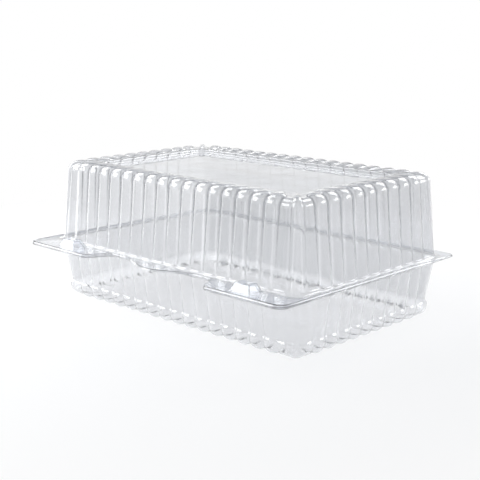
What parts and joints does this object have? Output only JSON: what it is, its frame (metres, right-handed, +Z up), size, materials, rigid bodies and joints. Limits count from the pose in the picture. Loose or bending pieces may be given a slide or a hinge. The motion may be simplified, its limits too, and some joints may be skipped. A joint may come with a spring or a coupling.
{
  "type": "hinged cake container",
  "caption": "Clear plastic hinged cake container: a deep ribbed lid with a sunken top panel closes over a ribbed tray, with snap buttons and a lift tab at the front.",
  "frame": {"origin": "centre of the tray's flat bottom, on the surface it stands on", "axes": "+X along the long sides, -Y towards the closure side, +Y towards the hinge, +Z up"},
  "size_m": [0.2436, 0.1794, 0.098],
  "materials": {
    "tray_sheet": "clear, glossy",
    "lid_sheet": "clear, glossy"
  },
  "bodies": {
    "tray": {"tray": "tray_sheet"},
    "lid": {"lid": "lid_sheet"}
  },
  "joints": [
    {"name": "lid_hinge", "type": "hinge", "parent": "tray", "child": "lid", "pos_m": [0, 0.084, 0.04], "axis": [-1, 0, 0], "range_deg": [0, 148]}
  ]
}
